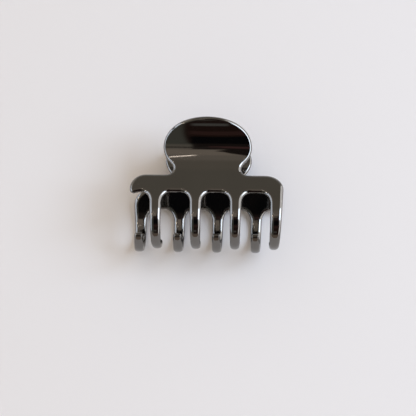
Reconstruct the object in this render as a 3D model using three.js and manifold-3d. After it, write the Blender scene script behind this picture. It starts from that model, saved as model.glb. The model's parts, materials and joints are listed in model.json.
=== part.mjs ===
// Metal claw hair clip: two identical bent sheet jaws, one turned half a turn about the handle axis,
// carried on a pin by two welded brackets and closed by a torsion spring.
// Built in a clip frame (x along the bar, y up the handle, z out of the front jaw), then laid on its
// back jaw.
import * as THREE from 'three';
import { mergeVertices } from 'three/addons/utils/BufferGeometryUtils.js';
import Module from 'manifold-3d';

const wasm = await Module();
wasm.setup();

const DEG = Math.PI / 180;
const MERGE_DISTANCE = 1e-4;
const ON_LINE = 1e-6;
const SIMPLIFY = 0.002;

// how finely each kind of curve is divided
const CURL_STEPS = 16;
const CHEEK_STEPS = 3;
const FLAT_STEPS = 1;
const HANDLE_STEPS = 10;
const OVAL_STEPS = 28;
const OVAL_SIDE_STEPS = 5;
const CORNER_STEPS = 8;
const SMALL_STEPS = 4;
const ROUND_STEPS = 16;
const TURNED_SIDES = 32;
const WIRE_SIDES = 8;
const SPRING_STEPS = 130;

// sheet and its side profile, millimetres and degrees
const SHEET = 1.5;
const EDGE_ROUND = 0.45;
const CURL_RADIUS = 7.95;
const CURL_OFFSET = 1.75;
const CURL_PAST_BOTTOM = 51;
const CHEEK_RADIUS = 15.8;
const BAR_SLOPE = 18.8;
const BAR_FLAT = 6.1;
const HANDLE_RADIUS = 13.5;
const HANDLE_END_SLOPE = 50;

// outline of the flat sheet
const HALF_BAR = 20.4;
const BAR_HEIGHT = 5.6;
const BAR_ABOVE_FLAT = 0.4;
const HANDLE_HALF_WIDTH = 11.95;
const HANDLE_UPPER = 8.6;
const HANDLE_LOWER = 7.8;
const HANDLE_LOWER_END = 36.5;
const NECK_HALF_WIDTH = 9.1;
const NECK_FILLET = 2.0;
const NECK_FILLET_END = 40;
const HOOK_WIDTH = 4.2;
const HOOK_DROP = 4.4;
const HOOK_TIP_ROUND = 1.1;
const HOOK_BELOW_BAR = 0.5;
const CORNER_WIDTH = 4.8;
const CORNER_DROP = 4.5;
const PRONG_COUNT = 4;
const PRONG_PITCH = 10.6;
const FIRST_PRONG = -13.4;
const PRONG_WIDTH = 3.0;
const PRONG_TIP_WIDTH = 2.3;
const PRONG_TIP_SPREAD = 0.975;
const PRONG_TIP_ROUND = 0.6;
const SLOT_CORNER_WIDTH = 2.4;
const SLOT_CORNER_DROP = 3.4;

// hinge
const PIN_HEIGHT = 12.6;
const PIN_RADIUS = 1.0;
const PIN_HALF_LENGTH = 7.9;
const PIN_HEAD_RADIUS = 1.8;
const PIN_HEAD_THICKNESS = 0.6;
const CLEARANCE = 0.3;
const PIN_PLAY = 0.1;
const EAR_THICKNESS = 0.9;
const EAR_OUTER_X = 7.5;
const EAR_EYE_RADIUS = 2.4;
const BRACKET_THICKNESS = 0.9;
const BRACKET_FROM_SLOPE = -18.5;
const BRACKET_TO_SLOPE = -4;

// spring
const WIRE_RADIUS = 0.45;
const COIL_RADIUS = 2.1;
const COIL_HALF_LENGTH = 4.2;
const LEG_SLOPE = 18;
const LEG_LENGTH = 7.6;
const COIL_TURNS_EACH_SIDE = 3;
const COIL_HALF_TURN = COIL_TURNS_EACH_SIDE * 360 + 90 - LEG_SLOPE;

const material = (name, color, roughness, metalness = 1) => {
  const m = new THREE.MeshStandardMaterial({ color, roughness, metalness });
  m.name = name;
  return m;
};
const gunmetal = material('gunmetal_plating', 0x5a5650, 0.12);
const steel = material('plain_steel', 0x8b8a86, 0.3);

const arc = (cx, cy, rx, ry, from, to, steps) =>
  new THREE.EllipseCurve(cx, cy, rx, ry, from * DEG, to * DEG, to < from).getPoints(steps);

// ---- side profile: stations along the middle of the sheet, from prong tip to handle end ----
const half = SHEET / 2;
const bends = [
  { radius: CURL_RADIUS - half, turn: -(90 + CURL_PAST_BOTTOM), steps: CURL_STEPS },
  { radius: CHEEK_RADIUS - half, turn: -BAR_SLOPE, steps: CHEEK_STEPS },
  { length: BAR_FLAT, turn: 0, steps: FLAT_STEPS },
  { radius: HANDLE_RADIUS + half, turn: BAR_SLOPE + HANDLE_END_SLOPE, steps: HANDLE_STEPS },
];

function stationsAlong() {
  const start = (90 + CURL_PAST_BOTTOM) * DEG;
  const r = CURL_RADIUS - half;
  const stations = [{
    s: 0,
    slope: start,
    y: -r * Math.cos(CURL_PAST_BOTTOM * DEG),
    z: CURL_OFFSET - r * Math.sin(CURL_PAST_BOTTOM * DEG),
  }];
  const ends = [];
  for (const bend of bends) {
    const turn = bend.turn * DEG;
    const length = bend.length ?? bend.radius * Math.abs(turn);
    for (let i = 0; i < bend.steps; i += 1) {
      const last = stations[stations.length - 1];
      const step = length / bend.steps;
      const slope = last.slope + turn / bend.steps;
      const middle = (last.slope + slope) / 2;
      const chord = turn === 0 ? step : 2 * bend.radius * Math.sin(Math.abs(turn) / bend.steps / 2);
      stations.push({
        s: last.s + step,
        slope,
        y: last.y + chord * Math.cos(middle),
        z: last.z + chord * Math.sin(middle),
      });
    }
    ends.push(stations[stations.length - 1].s);
  }
  return { stations, ends };
}
const { stations, ends } = stationsAlong();
const [, flatStart, flatEnd, handleEnd] = ends;

const offsetPoint = (st, n) => ({ y: st.y - n * Math.sin(st.slope), z: st.z + n * Math.cos(st.slope) });

// n is the distance outwards from the middle of the sheet
function bendPoint(s, n) {
  let i = 1;
  while (i < stations.length - 1 && stations[i].s < s) i += 1;
  const a = stations[i - 1];
  const b = stations[i];
  const t = (s - a.s) / (b.s - a.s);
  const p = offsetPoint(a, n);
  const q = offsetPoint(b, n);
  return { y: p.y + t * (q.y - p.y), z: p.z + t * (q.z - p.z) };
}

// ---- outline of the flat sheet, x across and s along ----
const barTop = flatEnd + BAR_ABOVE_FLAT;
const barBottom = barTop - BAR_HEIGHT;
const hookBottom = barBottom - HOOK_BELOW_BAR;
const slotSide = barBottom - SLOT_CORNER_DROP;
const handleWide = handleEnd - HANDLE_UPPER;
const filletX = NECK_HALF_WIDTH + NECK_FILLET;
const filletS = barTop + NECK_FILLET;

function prongOutline(index) {
  const x = FIRST_PRONG + index * PRONG_PITCH;
  const isLast = index === PRONG_COUNT - 1;
  const tip = x * PRONG_TIP_SPREAD;
  const left = x - PRONG_WIDTH / 2;
  const right = isLast ? HALF_BAR : x + PRONG_WIDTH / 2;
  const tipLeft = tip - PRONG_TIP_WIDTH / 2;
  const tipRight = tip + PRONG_TIP_WIDTH / 2;
  const r = PRONG_TIP_ROUND;
  const points = [
    ...arc(left - SLOT_CORNER_WIDTH, slotSide, SLOT_CORNER_WIDTH, SLOT_CORNER_DROP, 90, 0, CORNER_STEPS),
    ...arc(tipLeft + r, r, r, r, 180, 270, SMALL_STEPS),
    ...arc(tipRight - r, r, r, r, 270, 360, SMALL_STEPS),
  ];
  if (isLast) return points;
  return [
    ...points,
    ...arc(right + SLOT_CORNER_WIDTH, slotSide, SLOT_CORNER_WIDTH, SLOT_CORNER_DROP, 180, 90, CORNER_STEPS),
  ];
}

function sheetOutline() {
  const upper = (from, to) => arc(0, handleWide, HANDLE_HALF_WIDTH, HANDLE_UPPER, from, to, OVAL_STEPS);
  const lower = (from, to) => arc(0, handleWide, HANDLE_HALF_WIDTH, HANDLE_LOWER, from, to, OVAL_SIDE_STEPS);
  const neck = (x, from, to) => arc(x, filletS, NECK_FILLET, NECK_FILLET, from, to, CORNER_STEPS);
  const tip = HOOK_TIP_ROUND;
  const points = [
    ...upper(0, 180),
    ...lower(180, 180 + HANDLE_LOWER_END).slice(1),
    ...neck(-filletX, NECK_FILLET_END, -90),
    ...arc(HOOK_WIDTH - HALF_BAR, barTop - HOOK_DROP, HOOK_WIDTH, HOOK_DROP, 90, 180, CORNER_STEPS),
    ...arc(tip - HALF_BAR, hookBottom + tip, tip, tip, 180, 270, SMALL_STEPS).slice(1),
  ];
  for (let i = 0; i < PRONG_COUNT; i += 1) points.push(...prongOutline(i));
  points.push(
    ...arc(HALF_BAR - CORNER_WIDTH, barTop - CORNER_DROP, CORNER_WIDTH, CORNER_DROP, 0, 90, CORNER_STEPS),
    ...neck(filletX, 270, 180 - NECK_FILLET_END),
    ...lower(360 - HANDLE_LOWER_END, 360).slice(0, -1),
  );
  return new THREE.Shape(points);
}

function indexed(geometry) {
  const g = geometry.clone();
  for (const name of ['normal', 'uv']) g.deleteAttribute(name);
  return mergeVertices(g, MERGE_DISTANCE);
}

// splits the triangles of a closed mesh wherever they cross the line y = level
function scoreMesh(mesh, level) {
  const { points } = mesh;
  const cuts = new Map();
  const side = (i) => (Math.abs(points[i][1] - level) < ON_LINE ? 0 : Math.sign(points[i][1] - level));
  const cutBetween = (i, j) => {
    const key = i < j ? `${i}_${j}` : `${j}_${i}`;
    if (!cuts.has(key)) {
      const [a, b] = i < j ? [points[i], points[j]] : [points[j], points[i]];
      const t = (level - a[1]) / (b[1] - a[1]);
      points.push([a[0] + t * (b[0] - a[0]), level, a[2] + t * (b[2] - a[2])]);
      cuts.set(key, points.length - 1);
    }
    return cuts.get(key);
  };
  const triangles = [];
  for (const tri of mesh.triangles) {
    const ring = { above: [], below: [] };
    for (let k = 0; k < 3; k += 1) {
      const i = tri[k];
      const j = tri[(k + 1) % 3];
      if (side(i) >= 0) ring.above.push(i);
      if (side(i) <= 0) ring.below.push(i);
      if (side(i) * side(j) < 0) {
        const cut = cutBetween(i, j);
        ring.above.push(cut);
        ring.below.push(cut);
      }
    }
    const sides = tri.map(side);
    if (!sides.includes(1)) ring.above = [];
    if (!sides.includes(-1) && sides.includes(1)) ring.below = [];
    for (const loop of [ring.above, ring.below]) {
      for (let k = 2; k < loop.length; k += 1) triangles.push([loop[0], loop[k - 1], loop[k]]);
    }
  }
  return { points, triangles };
}

function jawGeometry() {
  const flat = new THREE.ExtrudeGeometry(sheetOutline(), {
    depth: SHEET - 2 * EDGE_ROUND,
    bevelSize: EDGE_ROUND,
    bevelOffset: -EDGE_ROUND,
    bevelThickness: EDGE_ROUND,
    bevelSegments: 2,
    curveSegments: 1,
  });
  const base = indexed(flat.translate(0, 0, EDGE_ROUND - half));
  const { array } = base.attributes.position;
  let mesh = { points: [], triangles: [] };
  for (let i = 0; i < array.length; i += 3) mesh.points.push([...array.slice(i, i + 3)]);
  const { array: index } = base.index;
  for (let i = 0; i < index.length; i += 3) mesh.triangles.push([...index.slice(i, i + 3)]);
  for (const station of stations.slice(1, -1)) mesh = scoreMesh(mesh, station.s);
  const bent = mesh.points.flatMap(([x, s, n]) => {
    const { y, z } = bendPoint(s, n);
    return [x, y, z];
  });
  const geometry = new THREE.BufferGeometry();
  geometry.setAttribute('position', new THREE.Float32BufferAttribute(bent, 3));
  geometry.setIndex(mesh.triangles.flat());
  return toGeometry(toSolid(geometry).simplify(SIMPLIFY));
}

// ---- booleans ----
function toSolid(geometry) {
  const g = indexed(geometry);
  const mesh = new wasm.Mesh({
    numProp: 3,
    vertProperties: new Float32Array(g.attributes.position.array),
    triVerts: new Uint32Array(g.index.array),
  });
  return new wasm.Manifold(mesh);
}

function toGeometry(solid) {
  const mesh = solid.getMesh();
  const g = new THREE.BufferGeometry();
  g.setAttribute('position', new THREE.Float32BufferAttribute(mesh.vertProperties, 3));
  g.setIndex([...mesh.triVerts]);
  return g;
}

// extrudes an outline drawn in (y, z) along x
function alongX(points, fromX, toX) {
  const shape = new THREE.Shape(points);
  const g = new THREE.ExtrudeGeometry(shape, { depth: toX - fromX, bevelEnabled: false, curveSegments: 1 });
  const basis = new THREE.Matrix4().makeBasis(
    new THREE.Vector3(0, 1, 0),
    new THREE.Vector3(0, 0, 1),
    new THREE.Vector3(1, 0, 0),
  );
  return g.applyMatrix4(basis).translate(fromX, 0, 0);
}

// turns a lathe profile of (radius, x) pairs about the x axis at the pin
function aroundPin(profile) {
  const g = new THREE.LatheGeometry(profile.map(([r, x]) => new THREE.Vector2(r, x)), TURNED_SIDES);
  return g.rotateZ(-Math.PI / 2).translate(0, PIN_HEIGHT, 0);
}

// ---- bracket: a curved pad that follows the inside of the neck, and two ears down to the pin ----
const handleCentre = offsetPoint(stations[stations.length - 1], HANDLE_RADIUS + half);

function bracketGeometry() {
  const inner = HANDLE_RADIUS + SHEET + CLEARANCE;
  const outer = inner + BRACKET_THICKNESS;
  const { y, z } = handleCentre;
  const ring = (radius, from, to) => arc(y, z, radius, radius, from, to, CORNER_STEPS);
  const from = 270 + BRACKET_FROM_SLOPE;
  const to = 270 + BRACKET_TO_SLOPE;
  const pad = [...ring(inner, from, to), ...ring(outer, to, from)];
  const left = -EAR_OUTER_X;
  const right = EAR_OUTER_X - EAR_THICKNESS - CLEARANCE;
  const eye = arc(PIN_HEIGHT, 0, EAR_EYE_RADIUS, EAR_EYE_RADIUS, -180, 0, ROUND_STEPS);
  const root = ring((inner + outer) / 2, to, from);
  const ear = [...eye, ...root];
  let solid = toSolid(alongX(pad, left, right));
  for (const x of [left, right - EAR_THICKNESS]) {
    solid = solid.add(toSolid(alongX(ear, x, x + EAR_THICKNESS)));
  }
  const hole = PIN_RADIUS + PIN_PLAY;
  const bore = aroundPin([[0, -HALF_BAR], [hole, -HALF_BAR], [hole, HALF_BAR], [0, HALF_BAR]]);
  return toGeometry(solid.subtract(toSolid(bore)));
}

// ---- pin: a rivet with a domed head and a peened end ----
function pinGeometry() {
  const end = PIN_HALF_LENGTH;
  const dome = arc(0, end, PIN_HEAD_RADIUS, PIN_HEAD_THICKNESS, 0, 90, SMALL_STEPS).map((p) => [p.x, p.y]);
  const profile = [
    ...dome.map(([r, x]) => [r, -x]).reverse(),
    [PIN_RADIUS, -end],
    [PIN_RADIUS, end],
    ...dome,
  ];
  profile[0][0] = 0;
  profile[profile.length - 1][0] = 0;
  return aroundPin(profile);
}

// ---- torsion spring: a helix round the pin whose two straight legs run up behind the handles ----
class SpringWire extends THREE.Curve {
  getPoint(t, target = new THREE.Vector3()) {
    const halfCoil = COIL_RADIUS * COIL_HALF_TURN * DEG;
    const along = (2 * t - 1) * (halfCoil + LEG_LENGTH);
    const inCoil = Math.min(Math.max(along, -halfCoil), halfCoil);
    const angle = Math.PI - inCoil / COIL_RADIUS;
    const leg = along - inCoil;
    return target.set(
      (COIL_HALF_LENGTH * inCoil) / halfCoil,
      PIN_HEIGHT + COIL_RADIUS * Math.cos(angle) + leg * Math.sin(angle),
      COIL_RADIUS * Math.sin(angle) - leg * Math.cos(angle),
    );
  }
}

function springGeometry() {
  const lastSide = 360 - 360 / WIRE_SIDES;
  const section = new THREE.Shape(arc(0, 0, WIRE_RADIUS, WIRE_RADIUS, 0, lastSide, WIRE_SIDES - 1));
  return new THREE.ExtrudeGeometry(section, {
    steps: SPRING_STEPS,
    extrudePath: new SpringWire(),
    curveSegments: 1,
  });
}

const clip = new THREE.Group();
clip.name = 'claw_hair_clip';

const flip = new THREE.Matrix4().makeRotationY(Math.PI);
const jaw = jawGeometry();
const bracket = bracketGeometry();
const pieces = [
  ['front_jaw', jaw, gunmetal],
  ['back_jaw', jaw.clone().applyMatrix4(flip), gunmetal],
  ['front_hinge_bracket', bracket, steel],
  ['back_hinge_bracket', bracket.clone().applyMatrix4(flip), steel],
  ['hinge_pin', pinGeometry(), steel],
  ['torsion_spring', springGeometry(), steel],
];

// the back jaw lies on its belly and the end of its handle, which tips the clip by the resting angle
function restingAngle(geometry) {
  const { array } = geometry.attributes.position;
  let foot = [0, 0];
  for (let i = 0; i < array.length; i += 3) {
    if (array[i + 2] < foot[1]) foot = [array[i + 1], array[i + 2]];
  }
  let least = Infinity;
  for (let i = 0; i < array.length; i += 3) {
    const run = foot[0] - array[i + 1];
    if (run > PIN_HEIGHT) least = Math.min(least, (array[i + 2] - foot[1]) / run);
  }
  return Math.atan(least);
}

const turned = new THREE.Matrix4().makeRotationX(restingAngle(pieces[1][1]));
const bounds = new THREE.Box3();
for (const [, geometry] of pieces) {
  geometry.applyMatrix4(turned).computeBoundingBox();
  bounds.union(geometry.boundingBox);
}
const centre = bounds.getCenter(new THREE.Vector3());
for (const [name, geometry, look] of pieces) {
  const g = indexed(geometry.translate(-centre.x, -centre.y, -bounds.min.z)).toNonIndexed();
  g.computeVertexNormals();
  const mesh = new THREE.Mesh(g, look);
  mesh.name = name;
  clip.add(mesh);
}

export default clip;
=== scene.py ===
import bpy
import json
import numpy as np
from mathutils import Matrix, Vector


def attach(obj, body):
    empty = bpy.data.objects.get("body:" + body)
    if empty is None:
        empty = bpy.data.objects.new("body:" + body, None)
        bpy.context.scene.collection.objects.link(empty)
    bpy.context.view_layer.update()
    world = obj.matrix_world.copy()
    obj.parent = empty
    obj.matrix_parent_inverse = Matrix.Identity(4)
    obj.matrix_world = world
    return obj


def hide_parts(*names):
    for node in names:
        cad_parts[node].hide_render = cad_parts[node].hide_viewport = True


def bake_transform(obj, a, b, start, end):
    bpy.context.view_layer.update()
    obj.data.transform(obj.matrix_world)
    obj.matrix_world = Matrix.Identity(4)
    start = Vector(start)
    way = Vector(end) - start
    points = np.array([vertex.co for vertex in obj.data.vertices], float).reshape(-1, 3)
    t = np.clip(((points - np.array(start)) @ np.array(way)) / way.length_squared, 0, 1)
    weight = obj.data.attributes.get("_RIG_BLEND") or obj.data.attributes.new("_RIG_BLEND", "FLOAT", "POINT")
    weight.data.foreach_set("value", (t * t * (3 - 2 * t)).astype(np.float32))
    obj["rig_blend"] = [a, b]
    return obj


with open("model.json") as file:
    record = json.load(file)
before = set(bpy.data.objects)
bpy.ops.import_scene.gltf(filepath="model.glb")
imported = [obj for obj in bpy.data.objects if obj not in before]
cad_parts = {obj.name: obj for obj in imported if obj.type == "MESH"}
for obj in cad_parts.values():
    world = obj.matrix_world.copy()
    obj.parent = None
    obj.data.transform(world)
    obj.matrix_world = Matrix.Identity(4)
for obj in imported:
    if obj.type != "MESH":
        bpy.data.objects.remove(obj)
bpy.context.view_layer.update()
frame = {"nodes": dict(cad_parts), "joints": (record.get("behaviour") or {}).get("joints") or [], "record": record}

import json
import math

import bmesh
import bpy
import numpy as np
from mathutils import Matrix, Vector
from mathutils.geometry import delaunay_2d_cdt

MM = 0.001
BACK, FRONT = "back_half", "front_half"
JOINT = frame["joints"][0]
MOUNTS = {m["name"]: m for m in frame["record"]["mounts"]}

# ---------------------------------------------------------------- where the clip lies
# clip frame: x along the bar, y up the handle, z out of the front jaw, origin between the two curls
PIN_Y = 12.6
PIN = np.array(JOINT["pos_m"]) / MM
UP_HANDLE = np.array(MOUNTS["front_bar_face"]["axis"]) + np.array(MOUNTS["back_bar_face"]["axis"])
UP_HANDLE /= np.linalg.norm(UP_HANDLE)
OUTWARD = np.cross([1.0, 0.0, 0.0], UP_HANDLE)
AXES = np.array([[1.0, 0.0, 0.0], UP_HANDLE, OUTWARD])
ORIGIN = PIN - PIN_Y * UP_HANDLE


def to_row(points, turned=False):
    """Clip-frame millimetres to row-frame metres; turned puts them on the back jaw."""
    p = np.asarray(points, float) * ([-1, 1, -1] if turned else [1, 1, 1])
    return (p @ AXES + ORIGIN) * MM


def to_row_vectors(vectors, turned=False):
    v = np.asarray(vectors, float) * ([-1, 1, -1] if turned else [1, 1, 1])
    return v @ AXES


# ---------------------------------------------------------------- the bent sheet
SHEET = 1.5
EDGE_WIDTH, HANDLE_EDGE, TIP_EDGE = 1.1, 0.6, 0.7
EDGE_SHARE = 0.9
CROWN_RADIUS, CROWN_FADE = 120, 7.0
CURL_RADIUS, CURL_OFFSET, CURL_PAST = 7.95, 1.75, 51
CHEEK_RADIUS, BAR_SLOPE, BAR_FLAT = 15.8, 18.8, 6.1
HANDLE_RADIUS, HANDLE_END_SLOPE = 13.5, 50
HALF = SHEET / 2
STEP = 0.05
EASE_LENGTH, BEYOND = 1.6, 1.5


def side_profile():
    """Stations along the middle of the sheet: slope, y and z, with eased changes of curvature."""
    bends = [
        ((CURL_RADIUS - HALF) * math.radians(90 + CURL_PAST), -(90 + CURL_PAST)),
        ((CHEEK_RADIUS - HALF) * math.radians(BAR_SLOPE), -BAR_SLOPE),
        (BAR_FLAT, 0),
        ((HANDLE_RADIUS + HALF) * math.radians(BAR_SLOPE + HANDLE_END_SLOPE), BAR_SLOPE + HANDLE_END_SLOPE),
    ]
    ends = np.cumsum([0] + [length for length, _ in bends])
    slopes = np.cumsum([90 + CURL_PAST] + [turn for _, turn in bends])
    s = np.arange(0, ends[-1] + STEP, STEP)
    padded = np.arange(-BEYOND, ends[-1] + BEYOND + STEP, STEP)
    slope = np.interp(padded, ends, slopes)
    low = padded < 0
    slope[low] = slopes[0] - padded[low] * math.degrees(1 / (CURL_RADIUS - HALF))
    high = padded > ends[-1]
    slope[high] = slopes[-1] + (padded[high] - ends[-1]) * math.degrees(1 / (HANDLE_RADIUS + HALF))
    width = int(EASE_LENGTH / STEP)
    kernel = np.hanning(width + 2)[1:-1]
    eased = np.convolve(slope, kernel / kernel.sum(), mode="same")
    slope = np.radians(np.interp(s, padded, eased))
    middle = (slope[1:] + slope[:-1]) / 2
    r = CURL_RADIUS - HALF
    past = math.radians(CURL_PAST)
    y = np.concatenate([[0], np.cumsum(np.cos(middle) * STEP)]) - r * math.cos(past)
    z = np.concatenate([[0], np.cumsum(np.sin(middle) * STEP)]) + CURL_OFFSET - r * math.sin(past)
    return s, slope, y, z, ends


PROFILE_S, PROFILE_SLOPE, PROFILE_Y, PROFILE_Z, ENDS = side_profile()


def crown(flat, normals):
    """Domes the handle: its middle stands outwards and its sides fall away, evenly through the sheet."""
    x = flat[:, 0]
    into = np.clip((flat[:, 1] - ENDS[3]) / CROWN_FADE, 0, 1)
    share = into * into * (3 - 2 * into)
    lift = share * ((HANDLE_WIDTH / 2) ** 2 - x**2) / (2 * CROWN_RADIUS)
    points = flat + np.stack([0 * x, 0 * x, lift], 1)
    turned = normals.copy()
    turned[:, 0] += share * x / CROWN_RADIUS * normals[:, 2]
    turned[:, 2] -= share * x / CROWN_RADIUS * normals[:, 0]
    return points, turned / np.linalg.norm(turned, axis=1, keepdims=True)


def bend(flat, normals):
    """Flat sheet points (x, s, n) and their normals to the bent clip-frame ones."""
    flat, normals = crown(flat, normals)
    s = flat[:, 1]
    slope = np.interp(s, PROFILE_S, PROFILE_SLOPE)
    y = np.interp(s, PROFILE_S, PROFILE_Y)
    z = np.interp(s, PROFILE_S, PROFILE_Z)
    sin, cos = np.sin(slope), np.cos(slope)
    n = flat[:, 2]
    points = np.stack([flat[:, 0], y - n * sin, z + n * cos], 1)
    ns, nn = normals[:, 1], normals[:, 2]
    bent = np.stack([normals[:, 0], ns * cos - nn * sin, ns * sin + nn * cos], 1)
    return points, bent


# ---------------------------------------------------------------- outline of the flat sheet
HALF_BAR, BAR_HEIGHT, BAR_ABOVE_FLAT = 20.4, 5.6, 0.4
HANDLE_WIDTH, HANDLE_UPPER, HANDLE_LOWER, HANDLE_LOWER_END = 11.95, 8.6, 7.8, 36.5
NECK_HALF, NECK_FILLET, NECK_FILLET_END = 9.1, 2.0, 40
HOOK_WIDTH, HOOK_DROP, HOOK_TIP, HOOK_BELOW_BAR = 4.2, 4.4, 1.1, 0.5
CORNER_WIDTH, CORNER_DROP = 4.8, 4.5
PRONGS, PITCH, FIRST_PRONG = 4, 10.6, -13.4
PRONG_WIDTH, TIP_WIDTH, TIP_SPREAD, TIP_ROUND = 3.0, 2.3, 0.975, 0.6
SLOT_CORNER_WIDTH, SLOT_CORNER_DROP = 2.4, 3.4

BAR_TOP = ENDS[3] + BAR_ABOVE_FLAT
BAR_BOTTOM = BAR_TOP - BAR_HEIGHT
SLOT_SIDE = BAR_BOTTOM - SLOT_CORNER_DROP
HANDLE_WIDE = ENDS[4] - HANDLE_UPPER


def arc(cx, cy, rx, ry, start, stop, steps=24):
    """Points on part of an ellipse, angles in degrees."""
    a = np.radians(np.linspace(start, stop, steps))
    return [(cx + rx * math.cos(t), cy + ry * math.sin(t)) for t in a]


def sheet_outline():
    """The stamping laid flat: handle, neck, hook, prongs and square end, anticlockwise."""
    fillet_x, fillet_s = NECK_HALF + NECK_FILLET, BAR_TOP + NECK_FILLET
    points = arc(0, HANDLE_WIDE, HANDLE_WIDTH, HANDLE_UPPER, 0, 180, 120)
    points += arc(0, HANDLE_WIDE, HANDLE_WIDTH, HANDLE_LOWER, 180, 180 + HANDLE_LOWER_END)[1:]
    points += arc(-fillet_x, fillet_s, NECK_FILLET, NECK_FILLET, NECK_FILLET_END, -90)
    points += arc(HOOK_WIDTH - HALF_BAR, BAR_TOP - HOOK_DROP, HOOK_WIDTH, HOOK_DROP, 90, 180)
    hook_s = BAR_BOTTOM - HOOK_BELOW_BAR + HOOK_TIP
    points += arc(HOOK_TIP - HALF_BAR, hook_s, HOOK_TIP, HOOK_TIP, 180, 270)[1:]
    for i in range(PRONGS):
        x = FIRST_PRONG + i * PITCH
        last = i == PRONGS - 1
        left, right = x - PRONG_WIDTH / 2, x + PRONG_WIDTH / 2
        tip_left, tip_right = x * TIP_SPREAD - TIP_WIDTH / 2, x * TIP_SPREAD + TIP_WIDTH / 2
        w, d = SLOT_CORNER_WIDTH, SLOT_CORNER_DROP
        points += arc(left - w, SLOT_SIDE, w, d, 90, 0)
        points += arc(tip_left + TIP_ROUND, TIP_ROUND, TIP_ROUND, TIP_ROUND, 180, 270, 12)
        points += arc(tip_right - TIP_ROUND, TIP_ROUND, TIP_ROUND, TIP_ROUND, 270, 360, 12)
        if not last:
            points += arc(right + w, SLOT_SIDE, w, d, 180, 90)
    points += arc(HALF_BAR - CORNER_WIDTH, BAR_TOP - CORNER_DROP, CORNER_WIDTH, CORNER_DROP, 0, 90)
    points += arc(fillet_x, fillet_s, NECK_FILLET, NECK_FILLET, 270, 180 - NECK_FILLET_END)
    points += arc(0, HANDLE_WIDE, HANDLE_WIDTH, HANDLE_LOWER, 360 - HANDLE_LOWER_END, 360)[:-1]
    return np.array(points)


EASE_REACH = 3
EDGE_EASE = range(-3, 4)
TIP_ENDS, TIP_WIDENS = 0.5, 2.0
HANDLE_NARROWS, HANDLE_NARROW = BAR_TOP + 2, BAR_TOP + 6
TINY = 1e-6


def resample_loop(points, spacing, ease):
    """Even points round a closed loop, eased so that its normal turns smoothly, and those normals."""
    closed = np.vstack([points, points[:1]])
    run = np.concatenate([[0], np.cumsum(np.linalg.norm(np.diff(closed, axis=0), axis=1))])
    count = int(run[-1] / spacing)
    at = np.arange(count) * run[-1] / count
    loop = np.stack([np.interp(at, run, closed[:, k]) for k in (0, 1)], 1)
    reach = int(EASE_REACH * ease / spacing) + 1
    offsets = np.arange(-reach, reach + 1)
    kernel = np.exp(-0.5 * (offsets * spacing / ease) ** 2)
    kernel /= kernel.sum()
    eased = sum(k * np.roll(loop, -o, 0) for k, o in zip(kernel, offsets))
    along = np.roll(eased, -1, 0) - np.roll(eased, 1, 0)
    along /= np.linalg.norm(along, axis=1, keepdims=True)
    return eased, np.stack([along[:, 1], -along[:, 0]], 1)


def inside(points, loop):
    """Which points lie inside the loop."""
    x, y = points[:, 0:1], points[:, 1:2]
    x0, y0 = loop[:, 0], loop[:, 1]
    x1, y1 = np.roll(x0, -1), np.roll(y0, -1)
    crosses = (y0 > y) != (y1 > y)
    with np.errstate(divide="ignore", invalid="ignore"):
        at = (x1 - x0) * (y - y0) / (y1 - y0) + x0
    return (np.where(crosses, x < at, False)).sum(1) % 2 == 1


def edge_widths(loop, outward):
    """How far in from each point the edge is rounded, kept within the largest circle that fits there."""
    places = [TIP_ENDS, TIP_WIDENS, HANDLE_NARROWS, HANDLE_NARROW]
    most = np.interp(loop[:, 1], places, [TIP_EDGE, EDGE_WIDTH, EDGE_WIDTH, HANDLE_EDGE])
    widths = []
    for point, out in zip(loop, outward):
        away = loop - point
        depth = -away @ out
        circle = np.sum(away**2, 1) / np.maximum(2 * depth, TINY)
        widths.append(np.min(np.where(depth > TINY, circle, EDGE_WIDTH / EDGE_SHARE)))
    widths = np.minimum(np.array(widths) * EDGE_SHARE, most)
    least = np.min([np.roll(widths, k) for k in EDGE_EASE], axis=0)
    return np.mean([np.roll(least, k) for k in EDGE_EASE], axis=0)


CAP_INSIDE, CAP_MERGE = 1, 1e-7


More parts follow.
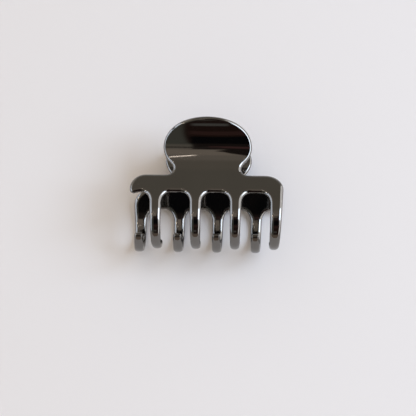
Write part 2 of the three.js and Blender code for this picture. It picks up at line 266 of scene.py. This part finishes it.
def rounded_plate(outline, half_thickness, spacing=0.2, ease=0.22, rings=16, grid=0.55):
    """A closed plate whose edge is half an ellipse in section: its points (x, s, n), normals and faces."""
    loop, outward = resample_loop(outline, spacing, ease)
    width = edge_widths(loop, outward)[:, None]
    count = len(loop)
    points, normals = [], []
    for turn in np.linspace(0, math.pi, rings + 1):
        sin, cos = math.sin(turn), math.cos(turn)
        ring = loop - (1 - sin) * width * outward
        points.append(np.column_stack([ring, np.full(count, cos * half_thickness)]))
        normal = np.column_stack([outward * sin / width, np.full(count, cos / half_thickness)])
        normals.append(normal / np.linalg.norm(normal, axis=1, keepdims=True))
    points, normals = np.vstack(points), np.vstack(normals)
    faces = []
    for ring in range(rings):
        a, b = ring * count, (ring + 1) * count
        faces += [(a + i, b + i, b + (i + 1) % count, a + (i + 1) % count) for i in range(count)]
    inner = loop - width * outward
    low, high = inner.min(0), inner.max(0)
    xs, ys = np.arange(low[0], high[0], grid), np.arange(low[1], high[1], grid)
    mesh = np.array([(x + (k % 2) * grid / 2, y) for k, y in enumerate(ys) for x in xs])
    mesh = mesh[inside(mesh, inner)]
    near = np.array([np.min(np.sum((inner - p) ** 2, 1)) for p in mesh])
    mesh = mesh[near > (0.5 * grid) ** 2]
    flat = [Vector(p) for p in inner] + [Vector(p) for p in mesh]
    edges = [(i, (i + 1) % count) for i in range(count)]
    verts, _, tris, origin, _, _ = delaunay_2d_cdt(flat, edges, [], CAP_INSIDE, CAP_MERGE)
    for sign, ring in ((1, 0), (-1, rings)):
        index = {}
        extra = []
        for k, v in enumerate(verts):
            first = origin[k][0] if origin[k] else None
            if first is not None and first < count:
                index[k] = ring * count + first
            else:
                index[k] = len(points) + len(extra)
                extra.append((v.x, v.y, sign * half_thickness))
        if extra:
            points = np.vstack([points, extra])
            normals = np.vstack([normals, [[0, 0, sign]] * len(extra)])
        faces += [tuple(index[k] for k in (tri if sign > 0 else reversed(tri))) for tri in tris]
    return points, normals, faces


def make_object(name, points, faces, normals=None):
    """A smooth-shaded mesh object in the scene, with its own normals where they are given."""
    mesh = bpy.data.meshes.new(name)
    mesh.from_pydata([tuple(p) for p in points], [], faces)
    mesh.polygons.foreach_set("use_smooth", [True] * len(mesh.polygons))
    if normals is not None:
        mesh.normals_split_custom_set_from_vertices([tuple(n) for n in normals])
    mesh.update()
    obj = bpy.data.objects.new(name, mesh)
    bpy.context.scene.collection.objects.link(obj)
    return obj


# ---------------------------------------------------------------- materials
class Nodes:
    """Small helper for writing node trees."""

    def __init__(self, tree):
        self.tree = tree
        tree.nodes.clear()

    def add(self, kind, inputs=None, **settings):
        node = self.tree.nodes.new(kind)
        for key, value in settings.items():
            setattr(node, key, value)
        for key, value in (inputs or {}).items():
            self.put(node.inputs[key], value)
        return node

    def put(self, socket, value):
        if isinstance(value, bpy.types.NodeSocket):
            self.tree.links.new(value, socket)
        else:
            socket.default_value = value

    def math(self, operation, *values, clamp=False):
        node = self.add("ShaderNodeMath", operation=operation, use_clamp=clamp)
        for socket, value in zip(node.inputs, values):
            self.put(socket, value)
        return node.outputs[0]

    def ramp(self, value, low, high, out_low=0.0, out_high=1.0):
        node = self.add("ShaderNodeMapRange", interpolation_type="SMOOTHSTEP")
        names = ("Value", "From Min", "From Max", "To Min", "To Max")
        for key, v in zip(names, (value, low, high, out_low, out_high)):
            self.put(node.inputs[key], v)
        return node.outputs["Result"]

    def mix(self, factor, a, b):
        node = self.add("ShaderNodeMix", data_type="RGBA")
        self.put(node.inputs["Factor"], factor)
        self.put(node.inputs["A"], a)
        self.put(node.inputs["B"], b)
        return node.outputs["Result"]


DRIFT = 0.93
SWAY_HEIGHT, GRAIN_HEIGHT = 0.08 * MM, 0.02 * MM


def metal(name, color, worn, rough_low, rough_high, scratch, bump):
    """Metal with slow colour drift, smudges in its roughness, fine scratches and rubbed edges."""
    material = bpy.data.materials.new(name)
    material.use_nodes = True
    n = Nodes(material.node_tree)
    where = n.add("ShaderNodeTexCoord").outputs["Object"]
    smudge = n.add(
        "ShaderNodeTexNoise",
        {"Vector": where, "Scale": 130.0, "Detail": 4.0, "Roughness": 0.55},
    )
    drift = n.add("ShaderNodeTexNoise", {"Vector": where, "Scale": 45.0, "Detail": 2.0})
    stretch = n.add(
        "ShaderNodeMapping",
        {"Vector": where, "Scale": (1.0, 7.0, 1.0), "Rotation": (0.0, 0.0, 0.5)},
    )
    lines = n.add("ShaderNodeTexNoise", {"Vector": stretch.outputs[0], "Scale": 900.0, "Detail": 3.0})
    grain = n.add("ShaderNodeTexNoise", {"Vector": where, "Scale": 2600.0, "Detail": 2.0})
    rough = n.ramp(smudge.outputs["Fac"], 0.35, 0.7, rough_low, rough_high)
    rough = n.math("ADD", rough, n.ramp(lines.outputs["Fac"], 0.55, 0.75, 0.0, scratch))
    darker = [c * DRIFT for c in color]
    tint = n.mix(n.ramp(drift.outputs["Fac"], 0.3, 0.7), (*color, 1), (*darker, 1))
    edge = n.add("ShaderNodeNewGeometry").outputs["Pointiness"]
    tint = n.mix(n.ramp(edge, 0.53, 0.6, 0.0, 0.35), tint, (*worn, 1))
    wave = n.add("ShaderNodeTexNoise", {"Vector": where, "Scale": 110.0, "Detail": 1.0})
    wave, grain = wave.outputs["Fac"], grain.outputs["Fac"]
    sway = n.add("ShaderNodeBump", {"Strength": 1.0, "Distance": SWAY_HEIGHT, "Height": wave})
    relief = n.add(
        "ShaderNodeBump",
        {"Strength": bump, "Distance": GRAIN_HEIGHT, "Height": grain, "Normal": sway.outputs[0]},
    )
    shader = n.add(
        "ShaderNodeBsdfPrincipled",
        {"Base Color": tint, "Metallic": 1.0, "Roughness": rough, "Normal": relief.outputs[0]},
    )
    n.add("ShaderNodeOutputMaterial", {"Surface": shader.outputs[0]})
    return material


PLATING = metal("gunmetal_plating", (0.178, 0.170, 0.158), (0.25, 0.24, 0.225), 0.05, 0.085, 0.02, 0.04)
HINGE_STEEL = metal("hinge_steel", (0.33, 0.32, 0.30), (0.45, 0.44, 0.42), 0.2, 0.32, 0.08, 0.15)
SPRING_STEEL = metal("spring_steel", (0.42, 0.41, 0.40), (0.5, 0.5, 0.48), 0.16, 0.26, 0.06, 0.1)

# ---------------------------------------------------------------- jaws
plate, plate_normals, plate_faces = rounded_plate(sheet_outline(), HALF)
jaw_points, jaw_normals = bend(plate, plate_normals)
for name, body, turned in (("front_jaw", FRONT, False), ("back_jaw", BACK, True)):
    piece = make_object(
        name + "_shell", to_row(jaw_points, turned), plate_faces, to_row_vectors(jaw_normals, turned)
    )
    piece.data.materials.append(PLATING)
    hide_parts(name)
    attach(piece, body)


# ---------------------------------------------------------------- brackets and pin
WELD, FLAT_ANGLE, BEVEL_ANGLE, SHARP_ANGLE = 0.001 * MM, 1, 35, 32


def softened(node, name, material, body, width):
    """The CAD piece with its flats joined and its edges broken."""
    piece = bpy.data.objects.new(name, frame["nodes"][node].data.copy())
    bpy.context.scene.collection.objects.link(piece)
    mesh = bmesh.new()
    mesh.from_mesh(piece.data)
    bmesh.ops.remove_doubles(mesh, verts=mesh.verts, dist=WELD)
    limit = math.radians(FLAT_ANGLE)
    bmesh.ops.dissolve_limit(mesh, angle_limit=limit, verts=mesh.verts, edges=mesh.edges)
    mesh.to_mesh(piece.data)
    mesh.free()
    for key in [a.name for a in piece.data.attributes if a.name.startswith("custom_normal")]:
        piece.data.attributes.remove(piece.data.attributes[key])
    piece.data.materials.clear()
    piece.data.materials.append(material)
    modifier = piece.modifiers.new("edges", "BEVEL")
    modifier.width = width
    modifier.segments = 3
    modifier.limit_method = "ANGLE"
    modifier.angle_limit = math.radians(BEVEL_ANGLE)
    modifier.harden_normals = False
    bpy.context.view_layer.update()
    evaluated = piece.evaluated_get(bpy.context.evaluated_depsgraph_get())
    shaped = bpy.data.meshes.new_from_object(evaluated)
    piece.modifiers.clear()
    piece.data = shaped
    shaped.polygons.foreach_set("use_smooth", [True] * len(shaped.polygons))
    shaped.set_sharp_from_angle(angle=math.radians(SHARP_ANGLE))
    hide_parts(node)
    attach(piece, body)
    return piece


BRACKET_EDGE, PIN_EDGE = 0.18 * MM, 0.12 * MM
softened("front_hinge_bracket", "front_bracket_formed", HINGE_STEEL, FRONT, BRACKET_EDGE)
softened("back_hinge_bracket", "back_bracket_formed", HINGE_STEEL, BACK, BRACKET_EDGE)
softened("hinge_pin", "hinge_pin_turned", HINGE_STEEL, BACK, PIN_EDGE)

# ---------------------------------------------------------------- spring
WIRE, COIL_RADIUS, COIL_HALF_LENGTH, LEG_SLOPE, LEG_LENGTH = 0.45, 2.1, 4.2, 18, 7.6
COIL_TURNS_EACH_SIDE = 3
COIL_HALF_TURN = math.radians(COIL_TURNS_EACH_SIDE * 360 + 90 - LEG_SLOPE)
BLEND_REACH = 2.6
WIRE_END = 0.6


def spring_path(samples=900):
    """The middle of the wire: a leg, the coil round the pin and the other leg."""
    half = COIL_RADIUS * COIL_HALF_TURN
    along = np.linspace(-1, 1, samples) * (half + LEG_LENGTH)
    in_coil = np.clip(along, -half, half)
    angle = math.pi - in_coil / COIL_RADIUS
    leg = along - in_coil
    x = COIL_HALF_LENGTH * in_coil / half
    y = PIN_Y + COIL_RADIUS * np.cos(angle) + leg * np.sin(angle)
    z = COIL_RADIUS * np.sin(angle) - leg * np.cos(angle)
    return np.stack([x, y, z], 1)


def tube(path, radius, sides=14):
    """A closed round wire along a path, its ends domed."""
    tangent = np.gradient(path, axis=0)
    tangent /= np.linalg.norm(tangent, axis=1, keepdims=True)
    across = np.cross(tangent[0], [1.0, 0.0, 0.0])
    across /= np.linalg.norm(across)
    frames = []
    for t in tangent:
        across = across - t * (across @ t)
        across /= np.linalg.norm(across)
        frames.append((across, np.cross(t, across)))
    turns = np.linspace(0, 2 * math.pi, sides, endpoint=False)
    stations = []
    dome = np.radians([80, 60, 40, 20])
    for t in dome:
        stations.append((0, -radius * WIRE_END * math.sin(t), radius * math.cos(t)))
    stations += [(i, 0.0, radius) for i in range(len(path))]
    for t in dome[::-1]:
        stations.append((len(path) - 1, radius * WIRE_END * math.sin(t), radius * math.cos(t)))
    points = []
    for i, ahead, r in stations:
        a, b = frames[i]
        centre = path[i] + tangent[i] * ahead
        points += [centre + r * (math.cos(u) * a + math.sin(u) * b) for u in turns]
    faces = []
    for k in range(len(stations) - 1):
        p, q = k * sides, (k + 1) * sides
        faces += [(p + i, p + (i + 1) % sides, q + (i + 1) % sides, q + i) for i in range(sides)]
    faces.append(tuple(range(sides))[::-1])
    faces.append(tuple(range(len(points) - sides, len(points))))
    return np.array(points), faces


spring_points, spring_faces = tube(spring_path(), WIRE)
spring = make_object("torsion_spring_wire", to_row(spring_points), spring_faces)
spring.data.materials.append(SPRING_STEEL)
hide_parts("torsion_spring")
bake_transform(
    spring,
    BACK,
    FRONT,
    start=tuple(to_row([[0, PIN_Y, -BLEND_REACH]])[0]),
    end=tuple(to_row([[0, PIN_Y, BLEND_REACH]])[0]),
)

# ---------------------------------------------------------------- floor
FLOOR = 3.0
corners = [(-FLOOR, -FLOOR, 0), (FLOOR, -FLOOR, 0), (FLOOR, FLOOR, 0), (-FLOOR, FLOOR, 0)]
floor = make_object("floor", corners, [(0, 1, 2, 3)])
paint = bpy.data.materials.new("pale_floor")
paint.use_nodes = True
n = Nodes(paint.node_tree)
shader = n.add("ShaderNodeBsdfPrincipled", {"Base Color": (0.80, 0.79, 0.80, 1), "Roughness": 0.7})
n.add("ShaderNodeOutputMaterial", {"Surface": shader.outputs[0]})
floor.data.materials.append(paint)

# ---------------------------------------------------------------- camera
AIM = to_row([[0.265, 3.75, 0.0]])[0]
DISTANCE = 0.340
TILT, YAW, ROLL = math.radians(17.0), math.radians(1.87), math.radians(1.3)
LENS = 108.8654
off_axis = [math.sin(YAW) * math.cos(TILT), -math.sin(TILT), math.cos(YAW) * math.cos(TILT)]
towards = to_row_vectors([off_axis])[0]
right = np.cross(UP_HANDLE, towards)
right /= np.linalg.norm(right)
up = np.cross(towards, right)
right, up = right * math.cos(ROLL) + up * math.sin(ROLL), up * math.cos(ROLL) - right * math.sin(ROLL)
camera = bpy.data.objects.new("camera", bpy.data.cameras.new("camera"))
camera.data.lens = LENS
camera.data.clip_start = 0.01
camera.data.clip_end = 20
place = Matrix.Identity(4)
for k, column in enumerate((right, up, towards, AIM + DISTANCE * towards)):
    for row in range(3):
        place[row][k] = column[row]
camera.matrix_world = place
bpy.context.scene.collection.objects.link(camera)
bpy.context.scene.camera = camera

# ---------------------------------------------------------------- studio
world = bpy.data.worlds.new("studio")
bpy.context.scene.world = world
world.use_nodes = True
n = Nodes(world.node_tree)
ray = n.add("ShaderNodeTexCoord").outputs["Generated"]


def dot(direction):
    """How far the ray points in a direction."""
    node = n.add("ShaderNodeVectorMath", {0: ray, 1: tuple(direction)}, operation="DOT_PRODUCT")
    return node.outputs["Value"]


def panel(sky, across, tilt, half_across, half_tilt, soft, color, roll=0):
    """Lays a soft panel on the sky, in degrees off the zenith: across towards +X, tilt towards -Y."""
    a, t, turn = (math.radians(v) for v in (across, tilt, roll))
    centre = Vector((math.sin(a), -math.cos(a) * math.sin(t), math.cos(a) * math.cos(t)))
    side = Vector((math.cos(a), math.sin(a) * math.sin(t), -math.sin(a) * math.cos(t)))
    down = Vector((0, -math.cos(t), -math.sin(t)))
    sin, cos = math.sin(turn), math.cos(turn)
    side, down = side * cos + down * sin, down * cos - side * sin
    ahead = n.math("MAXIMUM", dot(centre), 0.001)
    mask = n.ramp(dot(centre), 0.0, 0.05)
    for axis, half in ((side, half_across), (down, half_tilt)):
        off = n.math("ABSOLUTE", n.math("DIVIDE", dot(axis), ahead))
        edge = math.tan(math.radians(half))
        mask = n.math("MULTIPLY", mask, n.ramp(off, edge, edge + math.tan(math.radians(soft)), 1.0, 0.0))
    return n.mix(mask, sky, (*color, 1))


height = dot((0, 0, 1))
sky = n.mix(n.ramp(height, 0.0, 0.6), (0.55, 0.54, 0.53, 1), (0.30, 0.275, 0.235, 1))
# warm light over the bar, the handle's foot and the upper prongs, and round the handle's far edge
sky = panel(sky, 0, -20, 40, 12, 16, (0.33, 0.295, 0.25))
sky = panel(sky, 0, -3, 34, 9, 9, (0.42, 0.37, 0.32))
sky = panel(sky, 0, 2, 34, 4, 4, (0.53, 0.455, 0.39))
sky = panel(sky, 0, 86, 50, 9, 3, (0.36, 0.28, 0.23))
# a pale wall and two windows on the left, a large window on the right, each with its bar
sky = panel(sky, -64, -10, 27, 62, 8, (0.80, 0.75, 0.68))
sky = panel(sky, -62, -45, 15, 22, 4, (2.8, 3.1, 3.7))
sky = panel(sky, -59, -45, 2.0, 26, 1.5, (0.05, 0.05, 0.06))
sky = panel(sky, -60, 42, 16, 26, 3, (2.8, 3.1, 3.7))
sky = panel(sky, -57, 42, 2.5, 30, 1.5, (0.05, 0.05, 0.06))
sky = panel(sky, 64, 0, 26, 55, 6, (2.9, 2.9, 3.0))
sky = panel(sky, 58, 0, 2.0, 55, 1.5, (0.4, 0.36, 0.32))
# the dark shapes that the handle and the lower prongs mirror
sky = panel(sky, -6, 49, 40, 27, 4, (0.17, 0.172, 0.15))
sky = panel(sky, 16, 48.5, 24, 27, 3, (0.045, 0.024, 0.020))
sky = panel(sky, 16, 45, 22, 3, 2.5, (0.09, 0.045, 0.04))
sky = panel(sky, 16, 28, 22, 8, 3, (0.008, 0.008, 0.010))
sky = panel(sky, 16, 15, 22, 6, 1.5, (0.035, 0.026, 0.024))
sky = panel(sky, 13.5, 7, 7.4, 10, 1.5, (0.035, 0.026, 0.024), roll=-45)
sky = panel(sky, 19, 13.5, 20, 1.5, 1.2, (0.15, 0.07, 0.07))
# thin lines and small bright spots
sky = panel(sky, -10, 13, 12, 0.6, 0.6, (0.06, 0.05, 0.045))
sky = panel(sky, -1, 65, 4, 2, 2, (0.2, 0.2, 0.19))
sky = panel(sky, -38, -1, 1.6, 1.6, 0.8, (16.0, 14.0, 12.0))
sky = panel(sky, -9, -7.5, 4.2, 0.35, 0.3, (7.0, 6.2, 5.6), roll=30)
path = n.add("ShaderNodeLightPath")
plain = (0.69, 0.603, 0.512, 1)
beyond_floor = (0.78, 0.77, 0.78, 1)
shown = n.mix(path.outputs["Is Glossy Ray"], plain, sky)
shown = n.mix(path.outputs["Is Camera Ray"], shown, beyond_floor)
background = n.add("ShaderNodeBackground", {"Color": shown, "Strength": 1.0})
n.add("ShaderNodeOutputWorld", {"Surface": background.outputs[0]})


def area_light(name, position, target, size, power, color):
    """A rectangular light that faces its target."""
    data = bpy.data.lights.new(name, "AREA")
    data.shape = "RECTANGLE"
    data.size, data.size_y = size
    data.energy = power
    data.color = color
    light = bpy.data.objects.new(name, data)
    light.location = position
    light.rotation_euler = (Vector(target) - Vector(position)).to_track_quat("-Z", "Y").to_euler()
    bpy.context.scene.collection.objects.link(light)
    return light


area_light("window", (0.9, 0.05, 0.8), (0, 0, 0.01), (0.7, 0.7), 11.0, (0.64, 0.79, 1.0))
# tones straight from the light, without a film curve
bpy.context.scene.view_settings.view_transform = "Standard"
